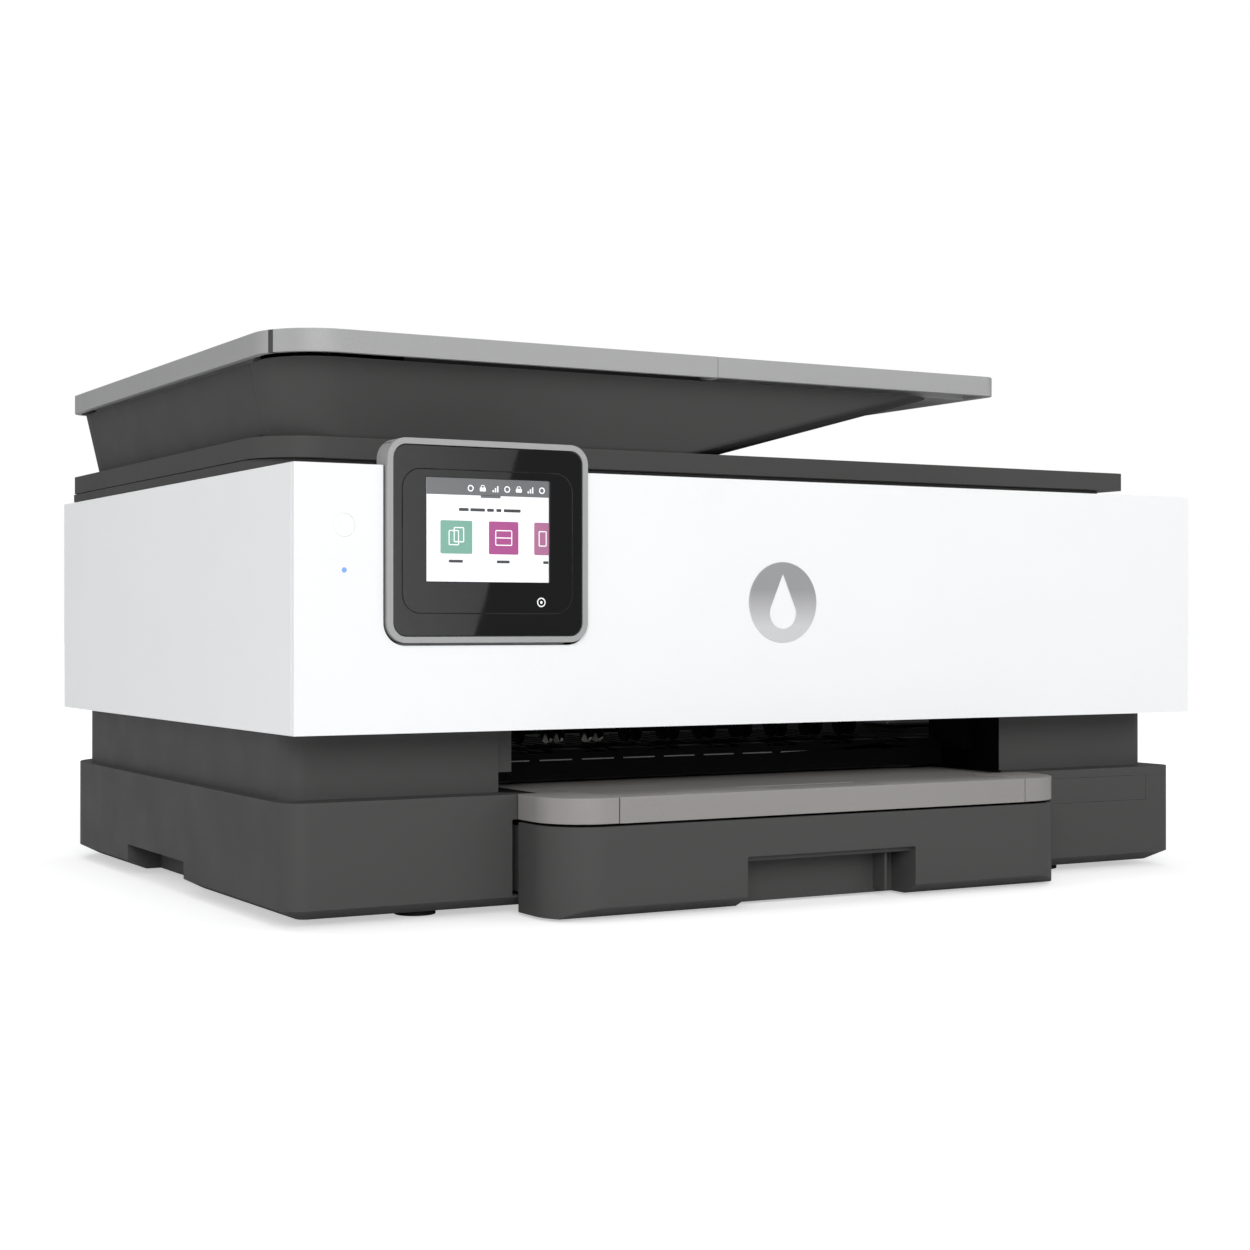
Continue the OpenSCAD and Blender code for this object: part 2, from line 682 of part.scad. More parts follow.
module front_door() color(white_c) {
    half = body_w / 2;
    rim = half - wall - 0.8;
    notch_x = [panel_cx - panel_w / 2 - 0.8, panel_cx + panel_w / 2 + 0.8];
    notch_z = panel_z - 1.1;
    difference() {
        union() {
            block([-half, half], [back(0), back(door_skin)], [band_z, band_top]);
            difference() {
                block([-rim, rim], [back(door_skin) - eps, back(door_depth)], [band_z, band_top]);
                block([-rim + wall, rim - wall], [back(door_skin), back(door_depth) + 1],
                    [band_z + wall, band_top - wall]);
            }
            block([notch_x[0] - wall, notch_x[1] + wall], [back(door_skin) - eps, back(door_depth - 0.5)],
                [notch_z - wall, band_top]);
            both_sides() rod_x([door_hinge_x - 8, rim], door_pivot[0], door_pivot[1], door_lug_r);
            both_sides() block([door_hinge_x - 8, rim], [back(1), door_pivot[0]],
                [band_z, door_pivot[1] + door_lug_r]);
            rod_y(-button_x, [back(1), back(6)], button_z, 7);
        }
        upright([back(-1), back(20)]) outline(notch_x, [notch_z, band_top + 30], 9, 9);
        both_sides()
            rod_x([door_hinge_x - 10, rim + 1], door_pivot[0], door_pivot[1], door_pin_r + run_gap);
        block([-half, half], [back(0), back(door_depth + 4)], [band_z - door_lug_r, band_z]);
        rod_y(-button_x, [back(-1), back(2.4)], button_z, 4.5 + run_gap);
        rod_y(-button_x, [back(-1), back(12)], button_z, 2.1);
        rod_y(-button_x, [back(-1), back(12)], light_z, 1.05);
    }
}

module door_emblem() color(steel_c)
    translate([-7.3, back(0), 127.5]) rotate([90, 0, 0]) linear_extrude(0.5) difference() {
        circle(17.4);
        translate([0, -4.5]) circle(6.8);
        polygon([[-6.23, -1.78], [0, 12.5], [6.23, -1.78]]);
    }

module status_light() color([0.45, 0.7, 0.95]) rod_y(-button_x, [back(-0.1), back(3)], light_z, 1);

module power_button() color(white_c) {
    rod_y(-button_x, [back(0), back(1.4)], button_z, 4.5);
    rod_y(-button_x, [back(1.4) - eps, back(8)], button_z, 2);
}

module panel_bracket() color(dark_c) {
    x = [panel_cx - 41, panel_cx + 41];
    plate = [back(door_depth + 0.1), back(door_depth + 2.6)];
    block(x, plate, [panel_z + 1, panel_top - 7.5]);
    for (ear = [[x[0], x[0] + 4], [x[1] - 4, x[1]]]) difference() {
        union() {
            block(ear, [panel_pivot[0], plate[1]], [panel_pivot[1] - 7, panel_pivot[1] + 1]);
            rod_x(ear, panel_pivot[0], panel_pivot[1], 3);
        }
        rod_x([ear[0] - 1, ear[1] + 1], panel_pivot[0], panel_pivot[1], 1.3 + run_gap);
    }
}

// A rounded plate standing upright, between two depths
module panel_plate(inset, y, r) {
    translate([0, y[1], 0]) rotate([90, 0, 0]) linear_extrude(y[1] - y[0])
        outline([panel_cx - panel_w / 2 + inset, panel_cx + panel_w / 2 - inset],
            [panel_z + inset, panel_top - inset], r, r);
}

module panel_case() color(grey_c) {
    x = [panel_cx - 41, panel_cx + 41];
    difference() {
        panel_plate(0, [panel_face, panel_rear], 8);
        panel_plate(2.4, [panel_face - 1, panel_face + 2], 5.6);
        for (ear = [[x[0] - 0.4, x[0] + 4.4], [x[1] - 4.4, x[1] + 0.4]])
            block(ear, [panel_pivot[0] - 3.6, panel_rear + 1], [panel_pivot[1] - 10, panel_pivot[1] + 3.6]);
    }
    for (ear = [[x[0] - 1.2, x[0] + 5.2], [x[1] - 5.2, x[1] + 1.2]])
        rod_x(ear, panel_pivot[0], panel_pivot[1], 1.3);
}

module touch_glass() color(black_c) difference() {
    panel_plate(2.6, [panel_face + 0.4, panel_face + 1.9], 5.4);
    block([panel_cx - screen_w / 2 - 0.6, panel_cx + screen_w / 2 - 0.5], [panel_face, panel_face + 3],
        [screen_z, screen_z + screen_h + 0.1]);
}

module display() color([0.95, 0.96, 0.98])
    block([panel_cx - screen_w / 2 - 0.55, panel_cx + screen_w / 2 - 0.55],
        [panel_face + 0.5, panel_face + 1.95], [screen_z + 0.05, screen_z + 0.05 + screen_h]);

// ---- Carriage ----

module print_carriage() color(black_c) {
    x = [carriage_x - carriage_half, carriage_x + carriage_half];
    difference() {
        union() {
            block(x, [carriage_front, 5], carriage_z);
            block([x[0] + 4, x[1] - 4], [4, guide_y + 6.5], [guide_z - 6.5, guide_z + 6.5]);
            block([carriage_x - 12, carriage_x + 12], [4, belt_y[0] - 0.6], [belt_z - 12, belt_z - 3]);
            block([carriage_x - 12, carriage_x + 12], [4, belt_y[1]], [belt_z - 14, belt_z - 10.4]);
        }
        for (i = [0:3])
            block([slot_x(i) - slot_w / 2, slot_x(i) + slot_w / 2], [carriage_front - 1, -12], [82, 140]);
        rod_x([x[0] - 5, x[1] + 5], guide_y, guide_z, rod_r + run_gap);
    }
}

function slot_x(i) = carriage_x + (i - 1.5) * slot_pitch;

module print_head() color(steel_c) {
    block([carriage_x - 36, carriage_x + 36], [-56, -6], [68, carriage_z[0]]);
    block([carriage_x - 28, carriage_x + 28], [-50, -12], [66.6, 68 + eps]);
}

module black_cartridge() cartridge(0, black_c);
module cyan_cartridge() cartridge(1, [0, 0.6, 0.85]);
module magenta_cartridge() cartridge(2, [0.85, 0.1, 0.5]);
module yellow_cartridge() cartridge(3, [0.95, 0.85, 0.1]);

module cartridge(i, ink) {
    half = 9.8;
    x = slot_x(i);
    color(ink) difference() {
        union() {
            block([x - half, x + half], [-98, -16], [82.4, 128]);
            block([x - half, x + half], [-101, -97], [96, 132]);
        }
        block([x - 6, x + 6], [-102, -99.5], [100, 112]);
    }
}

// ---- Paper pick ----

module pick_arm() color(black_c) {
    for (x = [[-24, -21], [21, 24]]) difference() {
        translate([x[0], 0, 0]) rotate([90, 0, 90]) linear_extrude(3) arm_outline();
        rod_x([x[0] - 1, x[1] + 1], pick_y, pick_z, 2.5 + run_gap);
    }
    rod_x([-28, 28], pick_pivot[0], pick_pivot[1], 2.5);
    block([-24, 24], [62, 68], [45.6, 48]);
}

module arm_outline() {
    length = norm([pick_y - pick_pivot[0], pick_z - pick_pivot[1]]);
    tilt = atan2(pick_z - pick_pivot[1], pick_y - pick_pivot[0]);
    translate(pick_pivot) rotate(tilt) {
        circle(5);
        translate([length, 0]) circle(5);
        translate([0, -5]) square([length, 10]);
    }
}

module pick_roller() {
    color(rubber_c) rod_x([-20, 20], pick_y, pick_z, pick_r);
    color(steel_c) rod_x([-26, 26], pick_y, pick_z, 2.5);
}

// ---- Lid and document feeder ----

module scanner_lid() {
    color(dark_c) difference() {
        union() {
            difference() {
                union() {
                    slab([-lid_half, lid_half], [back(40), lid_rear], [lid_z, lid_top], corner_r, 6);
                    slab([0, lid_half], [back(40), lid_rear], [lid_z, lid_top], 4, 6);
                }
                block([-lid_half - 1, -lid_half + 0.3], [back(73.8), back(74.2)], [lid_z - 1, lid_top + 1]);
                both_sides() block([141, 169], [lid_rear - 7, lid_rear + 1], [lid_z - 1, lid_top + 1]);
                block([-151, 176], [back(53), back(287)], [lid_z - 1, lid_z + 2.6]);
            }
            both_sides() {
                rod_x([147.6, 162.4], lid_rear, lid_axis_z, 3.9);
                block([147.6, 162.4], [lid_rear - 8, lid_rear], [lid_axis_z - 3.5, lid_axis_z + 3.9]);
            }
        }
        both_sides() rod_x([146, 164], lid_rear, lid_axis_z, 2 + run_gap);
    }
    color(ivory_c) block([-149, 174], [back(55), back(285)], [lid_z + 0.4, lid_z + 2.6]);
}

// The feeder's flared body between the lid and the rim, drawn in by inset on every side
module flare(inset, top) {
    hull() {
        slab([-218 + inset, -8.5 - inset], [adf_y[0] + inset, adf_y[1] - inset],
            [lid_top, lid_top + eps], corner_r - inset, 10 - inset);
        slab([-224.5 + inset, 103 - inset], [back(27) + inset, adf_rim[1] - inset - 1],
            [adf_wall_top, top], corner_r - inset, 12 - inset);
    }
}

module feeder_housing() {
    window = [side_panel_y[0] - 0.4, side_panel_y[1] + 0.4];
    pivot_boss = [[side_panel_y[0] - 6, window[0]], [window[1], side_panel_y[1] + 6]];
    color(dark_c) difference() {
        union() {
            difference() {
                flare(0, adf_wall_top + eps);
                flare(wall, adf_wall_top + 3);
                block([-230, cover_pivot[0] + 4], window, [lid_top - 1, adf_wall_top + 1]);
            }
            block([-205, -30], [back(60), back(305)], [lid_top, lid_top + 2]);
            for (y = pivot_boss) rod_y(cover_pivot[0], y, cover_pivot[1], 3);
            for (y = [[back(120), back(123)], [back(215), back(218)]])
                block([-170, -42], y, [lid_top + 1.9, adf_wall_top - 1]);
            block([-150, -70], [back(250), back(300)], [lid_top + 1.9, 219]);
        }
        rod_y(adf_pick_x, [back(110), back(225)], adf_pick_z, 3 + run_gap);
        rod_y(adf_feed_x, [back(110), back(225)], adf_feed_z, 3 + run_gap);
        block([-170, -42], [back(119), back(219)], [224.5, 226]);
    }
    color(steel_c) rod_y(cover_pivot[0], [side_panel_y[0] - 6, side_panel_y[0] + 8], cover_pivot[1], 1.4);
    color(steel_c) rod_y(cover_pivot[0], [side_panel_y[1] - 8, side_panel_y[1] + 6], cover_pivot[1], 1.4);
}

module feeder_pick_roller() feeder_roller(adf_pick_x, adf_pick_z, 10);
module feeder_feed_roller() feeder_roller(adf_feed_x, adf_feed_z, 12);

module feeder_roller(x, z, r) {
    color(rubber_c) rod_y(x, [back(140), back(198)], z, r);
    color(steel_c) rod_y(x, [back(118), back(220)], z, 3);
}

module feeder_tray() color(grey_c) {
    floor_left = 225.8;
    floor_right = 230;
    ext = [adf_seam_x + 0.3, adf_right];
    inner_y = [back(40), back(298)];
    difference() {
        union() {
            difference() {
                slab([ext[0] - 20, ext[1]], adf_rim, [rim_z, total_h], 6, 6);
                block([ext[0] - 21, ext[0]], adf_rim, [rim_z - 1, total_h + 1]);
            }
            translate([0, inner_y[1], 0]) rotate([90, 0, 0]) linear_extrude(inner_y[1] - inner_y[0])
                polygon([[ext[0], floor_left - 2], [ext[0], rim_z + 2], [78, rim_z + 2], [78, 224]]);
        }
        translate([0, inner_y[1], 0]) rotate([90, 0, 0]) linear_extrude(inner_y[1] - inner_y[0])
            polygon([[ext[0] - 1, floor_left], [ext[0] - 1, total_h + 1],
                [adf_right - 6, total_h + 1], [adf_right - 6, floor_right]]);
        for (y = [[adf_rim[0] + 3, inner_y[0] - 3], [inner_y[1] + 3, adf_rim[1] - 3]])
            block([ext[0] + 3, adf_right - 4], y, [rim_z - 1, total_h - 2.5]);
    }
}

module feeder_cover() {
    color(grey_c) difference() {
        slab([-body_w / 2, adf_seam_x + 40], adf_rim, [rim_z, total_h], 27, 12);
        slab([-body_w / 2 + 3, adf_seam_x + 60], [adf_rim[0] + 3, adf_rim[1] - 3],
            [rim_z - 1, total_h - 2.5], 24, 9);
        block([adf_seam_x, adf_seam_x + 61], adf_rim + [-1, 1], [rim_z - 1, total_h + 1]);
    }
    color(grey_c) block([-170, adf_seam_x], [back(32), back(33.5)], [222.5, total_h - 2.4]);
    color(dark_c) difference() {
        intersection() {
            union() {
                difference() {
                    flare(0, adf_wall_top + eps);
                    flare(wall, adf_wall_top + 3);
                }
                block([-222.5, -219.5], side_panel_y, [adf_wall_top - 2, total_h - 2.5]);
            }
            union() {
                block([-230, cover_pivot[0] + 3.6], side_panel_y, [cover_pivot[1], total_h]);
                rod_y(cover_pivot[0], side_panel_y, cover_pivot[1], 3.2);
            }
        }
        rod_y(cover_pivot[0], [side_panel_y[0] - 1, side_panel_y[1] + 1], cover_pivot[1], 3.02);
    }
    color(dark_c) difference() {
        rod_y(cover_pivot[0], side_panel_y, cover_pivot[1], 3.03);
        rod_y(cover_pivot[0], [side_panel_y[0] - 1, side_panel_y[0] + 9], cover_pivot[1], 1.4 + run_gap);
        rod_y(cover_pivot[0], [side_panel_y[1] - 9, side_panel_y[1] + 1], cover_pivot[1], 1.4 + run_gap);
    }
}

// A paper guide on the feeder's sloping floor, standing along the paper's edge
module feeder_guide(y, foot_y) color(grey_c) {
    x = [5, 95];
    slope = (230 - 225.8) / (adf_right - 6 - (adf_seam_x - 0.7));
    low = 225.8 + slope * (x[0] - adf_seam_x) + 0.35;
    high = 225.8 + slope * (x[1] - adf_seam_x) + 0.35;
    upright(y) polygon([[x[0], low], [x[1], high], [x[1], total_h - 0.4], [x[0], total_h - 0.4]]);
    upright(foot_y) polygon([[x[0], low], [x[1], high], [x[1], high + 1.2], [x[0], low + 1.2]]);
}

// An outline in X and Z given depth along Y
module upright(y) {
    translate([0, y[1], 0]) rotate([90, 0, 0]) linear_extrude(y[1] - y[0]) children();
}

module feeder_guide_front()
    feeder_guide([adf_mid_y - 110, adf_mid_y - 108], [adf_mid_y - 110, adf_mid_y - 84]);
module feeder_guide_rear()
    feeder_guide([adf_mid_y + 108, adf_mid_y + 110], [adf_mid_y + 84, adf_mid_y + 110]);

base_housing();
middle_frame();
body_shell();
rear_cover();
rubber_feet();
case_fasteners();
scanner_bed();
scan_glass();
lid_hinges();
chassis_frame();
guide_rods();
platen();
carriage_belt();
drive_motors();
transmission_belt();
exit_guide();
star_wheel_bar();
service_station();
rear_paper_guide();
main_board();
power_supply();
power_inlet();
rear_sockets();
output_tray();
front_door();
door_emblem();
status_light();
power_button();
panel_bracket();
panel_case();
touch_glass();
display();
print_carriage();
print_head();
black_cartridge();
cyan_cartridge();
magenta_cartridge();
yellow_cartridge();
drive_pulley();
idler_pulley();
feed_shaft();
motor_pinion();
output_shaft();
pick_arm();
pick_roller();
scan_head();
paper_drawer();
width_guide_left();
width_guide_right();
length_guide();
tray_extender();
paper_stop();
scanner_lid();
feeder_housing();
feeder_tray();
feeder_cover();
feeder_pick_roller();
feeder_feed_roller();
feeder_guide_front();
feeder_guide_rear();
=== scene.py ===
"""Looks of the all-in-one inkjet printer: materials, edge rounding, screen graphics, light and camera.

Units are metres in the CAD frame: +X right, +Y back, +Z up, with the feet standing on z = 0.
"""

import json
import math

import bpy
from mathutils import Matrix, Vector

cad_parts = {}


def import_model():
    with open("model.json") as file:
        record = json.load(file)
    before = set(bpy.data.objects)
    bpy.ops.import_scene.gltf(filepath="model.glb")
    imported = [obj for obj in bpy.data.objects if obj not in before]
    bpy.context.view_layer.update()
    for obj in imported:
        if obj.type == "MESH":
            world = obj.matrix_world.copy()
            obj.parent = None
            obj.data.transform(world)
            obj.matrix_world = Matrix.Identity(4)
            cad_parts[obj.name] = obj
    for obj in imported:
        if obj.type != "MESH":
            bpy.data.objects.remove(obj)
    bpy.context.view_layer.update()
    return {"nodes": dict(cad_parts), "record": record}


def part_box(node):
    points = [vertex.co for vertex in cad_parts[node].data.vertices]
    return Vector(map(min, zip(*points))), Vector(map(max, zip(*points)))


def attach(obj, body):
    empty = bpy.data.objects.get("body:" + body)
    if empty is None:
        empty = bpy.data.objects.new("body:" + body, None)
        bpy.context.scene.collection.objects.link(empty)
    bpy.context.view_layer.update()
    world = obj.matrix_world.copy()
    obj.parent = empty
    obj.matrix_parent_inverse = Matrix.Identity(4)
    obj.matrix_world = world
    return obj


MM = 0.001

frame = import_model()
slot_of = {part["node"]: part["material_slot"] for part in frame["record"]["subparts"]}
joint_of = {joint["child"]: joint for joint in frame["record"]["behaviour"]["joints"]}


def box_mm(node):
    """A CAD node's lowest and highest corners in millimetres."""
    low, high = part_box(node)
    return low / MM, high / MM


# ---- Materials ----


class Shader:
    """A material's node tree, with short calls for the nodes that every finish here shares."""

    def __init__(self, name):
        self.material = bpy.data.materials.new(name)
        self.material.use_nodes = True
        self.tree = self.material.node_tree
        self.bsdf = self.tree.nodes["Principled BSDF"]
        self.place = self.node("ShaderNodeTexCoord").outputs["Object"]

    def node(self, kind, **settings):
        made = self.tree.nodes.new(kind)
        for key, value in settings.items():
            setattr(made, key, value)
        return made

    def link(self, output, socket):
        self.tree.links.new(output, socket)

    def noise(self, size, detail=2.0, rough=0.5, stretch=(1, 1, 1)):
        """Noise whose features are about size metres across."""
        mapping = self.node("ShaderNodeMapping")
        mapping.inputs["Scale"].default_value = stretch
        self.link(self.place, mapping.inputs["Vector"])
        made = self.node("ShaderNodeTexNoise")
        made.inputs["Scale"].default_value = 1 / size
        made.inputs["Detail"].default_value = detail
        made.inputs["Roughness"].default_value = rough
        self.link(mapping.outputs[0], made.inputs["Vector"])
        return made.outputs["Fac"]

    def remap(self, value, low, high, from_low=0.3, from_high=0.7):
        made = self.node("ShaderNodeMapRange")
        limits = {"From Min": from_low, "From Max": from_high, "To Min": low, "To Max": high}
        for key, number in limits.items():
            made.inputs[key].default_value = number
        self.link(value, made.inputs["Value"])
        return made.outputs[0]

    def mix(self, factor, first, second):
        made = self.node("ShaderNodeMix", data_type="RGBA")
        for socket, value in ((made.inputs[0], factor), (made.inputs[6], first), (made.inputs[7], second)):
            if isinstance(value, (tuple, list)):
                socket.default_value = (*value, 1)
            else:
                self.link(value, socket)
        return made.outputs[2]

    def edges(self, radius):
        """1 on convex and concave edges, 0 on flat faces."""
        bevel = self.node("ShaderNodeBevel", samples=4)
        bevel.inputs["Radius"].default_value = radius
        geometry = self.node("ShaderNodeNewGeometry")
        dot = self.node("ShaderNodeVectorMath", operation="DOT_PRODUCT")
        self.link(bevel.outputs[0], dot.inputs[0])
        self.link(geometry.outputs["Normal"], dot.inputs[1])
        return self.remap(dot.outputs["Value"], 1, 0, 0.75, 0.995)

    def bump(self, height, depth):
        made = self.node("ShaderNodeBump")
        made.inputs["Strength"].default_value = 1.0
        made.inputs["Distance"].default_value = depth
        self.link(height, made.inputs["Height"])
        self.link(made.outputs[0], self.bsdf.inputs["Normal"])


def shade(colour, factor):
    return tuple(min(1.0, c * factor) for c in colour)


def moulded(name, colour, rough, grain=0.3 * MM, depth=0.012 * MM, vary=0.05, wear_and_sheen=0.3, gloss=0.5, painted_glow=0.0):
    """Injection-moulded plastic: spark-eroded grain, slow colour drift, edges tinted towards pale grey as
    scuffing and as a painted sheen, and an optional painted glow.
    """
    s = Shader(name)
    drift = s.remap(s.noise(60 * MM, 3), 0, 1)
    body = s.mix(drift, shade(colour, 1 - vary), shade(colour, 1 + vary))
    speck = s.remap(s.noise(0.9 * MM, 1), 0, 1)
    body = s.mix(speck, body, shade(colour, 1 + 0.5 * vary))
    # Edges, convex and concave alike, tinted towards pale grey: partly scuffing, partly a painted sheen.
    if wear_and_sheen:
        wear_and_sheen_mask = s.node("ShaderNodeMath", operation="MULTIPLY")
        s.link(s.edges(0.5 * MM), wear_and_sheen_mask.inputs[0])
        s.link(s.remap(s.noise(9 * MM, 4), 0.25 * wear_and_sheen, wear_and_sheen), wear_and_sheen_mask.inputs[1])
        lighter = tuple(c + (0.75 - c) * 0.35 for c in colour)
        body = s.mix(wear_and_sheen_mask.outputs[0], body, lighter)
    s.link(body, s.bsdf.inputs["Base Color"])
    s.link(s.remap(s.noise(25 * MM, 4), rough - 0.05, rough + 0.05), s.bsdf.inputs["Roughness"])
    s.bsdf.inputs["Specular IOR Level"].default_value = gloss
    # Painted glow: the body colour also emits, so shaded sides come out lighter though the plastic is no
    # lamp.
    if painted_glow:
        s.link(body, s.bsdf.inputs["Emission Color"])
        s.bsdf.inputs["Emission Strength"].default_value = painted_glow
    s.bump(s.noise(grain, 2, 0.6), depth)
    return s.material


def brushed(name, colour, rough):
    """Rolled or drawn metal, with fine streaks along X and clouded patches of plating."""
    s = Shader(name)
    streaks = s.noise(0.4 * MM, 3, 0.6, stretch=(0.03, 1, 1))
    body = s.mix(s.remap(s.noise(18 * MM, 4), 0, 1), shade(colour, 0.86), shade(colour, 1.08))
    body = s.mix(s.remap(streaks, 0, 0.35), body, shade(colour, 0.7))
    s.link(body, s.bsdf.inputs["Base Color"])
    s.bsdf.inputs["Metallic"].default_value = 1
    s.link(s.remap(streaks, rough - 0.08, rough + 0.1), s.bsdf.inputs["Roughness"])
    s.bump(streaks, 0.006 * MM)
    return s.material


def badge(name, above, below):
    """Satin plating with a painted reflection, darker above and lighter below, with fine streaks in its
    gloss.
    """
    s = Shader(name)
    split = s.node("ShaderNodeSeparateXYZ")
    s.link(s.place, split.inputs[0])
    # Painted reflection: the colour runs from lighter at the bottom of the badge to darker at its top.
    level = s.remap(split.outputs["Z"], 0, 1, 0.117, 0.133)
    streaks = s.noise(0.5 * MM, 3, 0.6, stretch=(0.05, 1, 1))
    s.link(s.mix(level, below, above), s.bsdf.inputs["Base Color"])
    s.link(s.remap(streaks, 0.28, 0.4), s.bsdf.inputs["Roughness"])
    s.bsdf.inputs["Metallic"].default_value = 0.25
    s.bump(streaks, 0.002 * MM)
    return s.material


def glossy(name, colour, rough=0.06, coat=0.0, glow=0.0):
    """A polished black or coloured surface with faint waviness and finger smears in its gloss."""
    s = Shader(name)
    body = s.mix(s.remap(s.noise(30 * MM, 2), 0, 1), shade(colour, 0.94), shade(colour, 1.06))
    s.link(body, s.bsdf.inputs["Base Color"])
    s.link(s.remap(s.noise(14 * MM, 5, 0.65), rough, 2 * rough), s.bsdf.inputs["Roughness"])
    s.bsdf.inputs["Coat Weight"].default_value = coat
    s.bsdf.inputs["Coat Roughness"].default_value = 0.04
    if glow:
        s.link(body, s.bsdf.inputs["Emission Color"])
        s.bsdf.inputs["Emission Strength"].default_value = glow
    s.bump(s.noise(22 * MM, 1), 0.01 * MM)
    return s.material


def clear_glass(name, tint):
    """Float glass with a green tint that drifts slightly, faint dust and slight waves."""
    s = Shader(name)
    s.link(s.mix(s.remap(s.noise(50 * MM, 2), 0, 1), tint, shade(tint, 0.94)), s.bsdf.inputs["Base Color"])
    s.bsdf.inputs["Transmission Weight"].default_value = 0.92
    s.link(s.remap(s.noise(1.5 * MM, 6, 0.7), 0.02, 0.12), s.bsdf.inputs["Roughness"])
    s.bump(s.noise(40 * MM, 1), 0.02 * MM)
    return s.material


def board(name, colour):
    """Green solder mask over thin copper tracks."""
    s = Shader(name)
    cells = s.node("ShaderNodeTexBrick", offset=0.35)
    cells.inputs["Scale"].default_value = 90
    cells.inputs["Mortar Size"].default_value = 0.03
    turned = s.node("ShaderNodeMapping")
    turned.inputs["Rotation"].default_value = (0, math.pi / 2, 0)
    s.link(s.place, turned.inputs["Vector"])
    s.link(turned.outputs[0], cells.inputs["Vector"])
    body = s.mix(s.remap(s.noise(12 * MM, 3), 0, 1), colour, shade(colour, 1.6))
    s.link(s.mix(cells.outputs["Fac"], body, shade(colour, 2.6)), s.bsdf.inputs["Base Color"])
    s.link(s.remap(s.noise(4 * MM, 3), 0.25, 0.45), s.bsdf.inputs["Roughness"])
    s.bump(cells.outputs["Fac"], 0.03 * MM)
    return s.material


WHITE = (0.86, 0.87, 0.875)
DARK = (0.075, 0.074, 0.073)
GREY = (0.385, 0.385, 0.385)
WARM = (0.29, 0.278, 0.267)
BLACK = (0.012, 0.012, 0.012)
SCREEN_GLOW = 0.35

finishes = {
    # The white plastic carries a painted glow, which lightens its shaded sides.
    "white_plastic": moulded("white_plastic", WHITE, 0.42, grain=0.5 * MM, depth=0.004 * MM, vary=0.012,
                             wear_and_sheen=0.12, gloss=0.4, painted_glow=0.13),
    "dark_plastic": moulded("dark_plastic", DARK, 0.52, grain=0.35 * MM, depth=0.02 * MM, vary=0.02,
                            wear_and_sheen=0.2, gloss=0.12),
    "grey_plastic": moulded("grey_plastic", GREY, 0.42, grain=0.35 * MM, vary=0.04),
    "warm_plastic": moulded("warm_plastic", WARM, 0.45, grain=0.35 * MM, vary=0.04, wear_and_sheen=0.35),
    "black_plastic": moulded("black_plastic", BLACK, 0.5, grain=0.35 * MM, depth=0.015 * MM, vary=0.1,
                             wear_and_sheen=0.1),
    "steel": brushed("steel", (0.6, 0.61, 0.63), 0.34),
    "rubber": moulded("rubber", (0.02, 0.02, 0.021), 0.75, grain=0.25 * MM, depth=0.03 * MM, vary=0.15,
                      wear_and_sheen=0.15, gloss=0.3),
    "gear_plastic": moulded("gear_plastic", (0.78, 0.76, 0.68), 0.38, grain=0.4 * MM, depth=0.006 * MM,
                            vary=0.03, wear_and_sheen=0.1),
    "circuit_board": board("circuit_board", (0.012, 0.11, 0.045)),
    "scan_glass": clear_glass("scan_glass", (0.86, 0.95, 0.92)),
    "touch_glass": glossy("touch_glass", (0.003, 0.003, 0.0035), 0.015),
    "display": glossy("display", (0.86, 0.87, 0.89), 0.09, glow=SCREEN_GLOW),
    "light": glossy("light", (0.14, 0.3, 0.6), 0.15, coat=0.3, glow=0.5),
    "ink_black": moulded("ink_black", (0.02, 0.02, 0.022), 0.4),
    "ink_cyan": moulded("ink_cyan", (0.0, 0.3, 0.62), 0.4),
    "ink_magenta": moulded("ink_magenta", (0.6, 0.015, 0.2), 0.4),
    "ink_yellow": moulded("ink_yellow", (0.85, 0.6, 0.02), 0.4),
}
# Finishes of painted faces and printed marks, which no node has as its slot: near black for painted shade and
# mid grey for painted highlights in the paper slot, and plating with a painted reflection for the emblem
EXTRA = {
    "emblem": badge("emblem", (0.36, 0.36, 0.37), (0.7, 0.7, 0.71)),
    "lid_pad": moulded("lid_pad", (0.8, 0.8, 0.78), 0.7, grain=0.8 * MM, depth=0.05 * MM, vary=0.03, wear_and_sheen=0),
    # Painted shade: near black for parts and faces that are dark only because they lie in shadow.
    "slot_painted_shade": moulded("slot_painted_shade", (0.0015, 0.0015, 0.0015), 0.6, grain=0.35 * MM, depth=0.015 * MM,
                          vary=0.2, wear_and_sheen=0, gloss=0.06),
    # Painted highlight: a mid grey for ledge fronts in the slot where light catches them.
    "slot_painted_highlight": moulded("slot_painted_highlight", (0.2, 0.2, 0.2), 0.4, depth=0.005 * MM, wear_and_sheen=0),
    "screen_bar": glossy("screen_bar", (0.13, 0.135, 0.14), 0.12, glow=SCREEN_GLOW),
    "screen_teal": glossy("screen_teal", (0.174, 0.364, 0.291), 0.12, glow=SCREEN_GLOW),
    "screen_magenta": glossy("screen_magenta", (0.35, 0.07, 0.228), 0.12, glow=SCREEN_GLOW),
    "screen_pale": glossy("screen_pale", (0.37, 0.14, 0.26), 0.12, glow=SCREEN_GLOW),
    "screen_white": glossy("screen_white", (0.85, 0.86, 0.87), 0.12, glow=0.4),
    "screen_ink": glossy("screen_ink", (0.05, 0.052, 0.055), 0.12, glow=0.2),
    "glass_print": glossy("glass_print", (0.0015, 0.0015, 0.0015), 0.5),
    "button_dot": glossy("button_dot", (0.9, 0.92, 0.95), 0.2, glow=1.0),
}


# ---- Edges and shading of the CAD nodes ----


